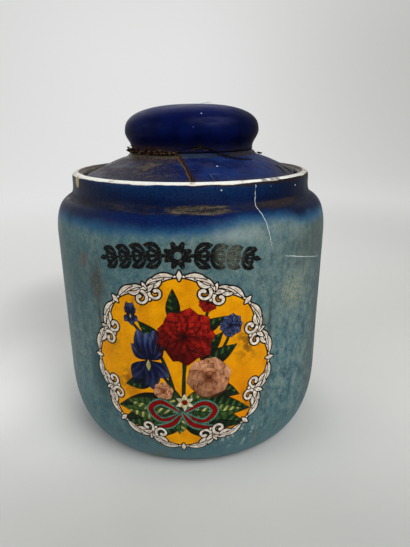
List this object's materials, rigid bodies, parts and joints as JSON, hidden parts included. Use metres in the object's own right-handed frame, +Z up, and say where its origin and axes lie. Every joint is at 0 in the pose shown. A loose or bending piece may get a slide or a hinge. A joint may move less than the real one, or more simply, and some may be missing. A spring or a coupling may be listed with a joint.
{
  "type": "tobacco jar",
  "caption": "Round-shouldered glazed ceramic jar with a recessed lift-off lid, a seal ring, and a hollow knob that holds a moistening sponge in a pierced cup.",
  "frame": {"origin": "centre of the foot, on the surface that the jar stands on", "axes": "+Z up along the jar's centre line, -Y towards the decorated front, +X to the viewer's right"},
  "size_m": [0.127, 0.127, 0.1526],
  "materials": {
    "jar_glaze": "worn satin glaze, navy at the shoulder fading to grey teal",
    "lid_glaze": "worn satin glaze, deep blue",
    "knob_glaze": "worn satin glaze, deep blue",
    "cork": "matt cork",
    "tinned_sheet": "dull tinned sheet",
    "sponge": "dry porous sponge"
  },
  "bodies": {
    "jar": {"jar_body": "jar_glaze"},
    "seal": {"seal_ring": "cork"},
    "lid": {"lid": "lid_glaze", "lid_knob": "knob_glaze"},
    "cup": {"sponge_cup": "tinned_sheet", "sponge": "sponge"}
  },
  "joints": [
    {"name": "lid_turn", "type": "hinge", "parent": "jar", "child": "seal", "pos_m": [0, 0, 0.1175], "axis": [0, 0, 1], "continuous": true},
    {"name": "lid_lift", "type": "slide", "parent": "seal", "child": "lid", "axis": [0, 0, 1], "range_m": [0, 0.06]},
    {"name": "cup_pull", "type": "slide", "parent": "lid", "child": "cup", "axis": [0, 0, -1], "range_m": [0, 0.04]}
  ]
}
